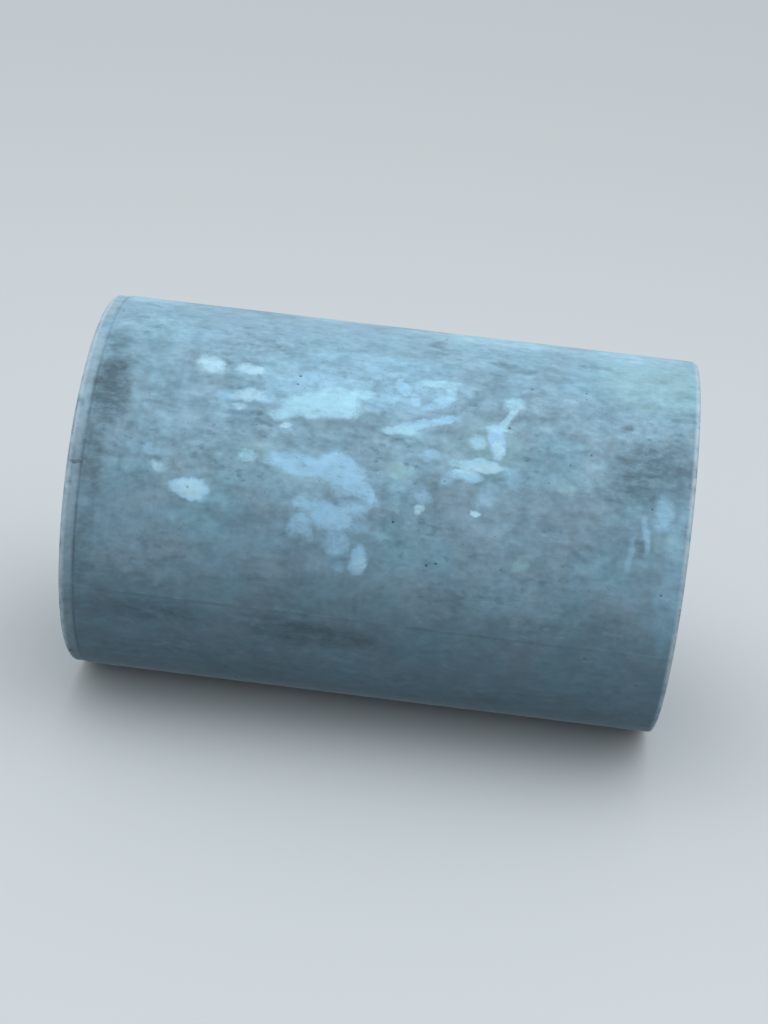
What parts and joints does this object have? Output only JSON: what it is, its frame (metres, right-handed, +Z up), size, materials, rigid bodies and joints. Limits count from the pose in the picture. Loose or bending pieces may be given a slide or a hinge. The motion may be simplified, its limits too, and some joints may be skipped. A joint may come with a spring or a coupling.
{
  "type": "concrete culvert ring",
  "caption": "Plain round precast concrete ring with flat joint faces, laid end to end on its side to carry water under a road.",
  "frame": {"origin": "on the bed line, the lowest line of the barrel, half way along the ring", "axes": "+X along the waterway from the pallet end, which has the stepped band, to the trowelled end; +Y across; +Z up"},
  "size_m": [2, 1.2799, 1.2798],
  "materials": {
    "cast_concrete": "matte"
  },
  "bodies": {
    "root": {"culvert_ring": "cast_concrete"}
  },
  "joints": []
}
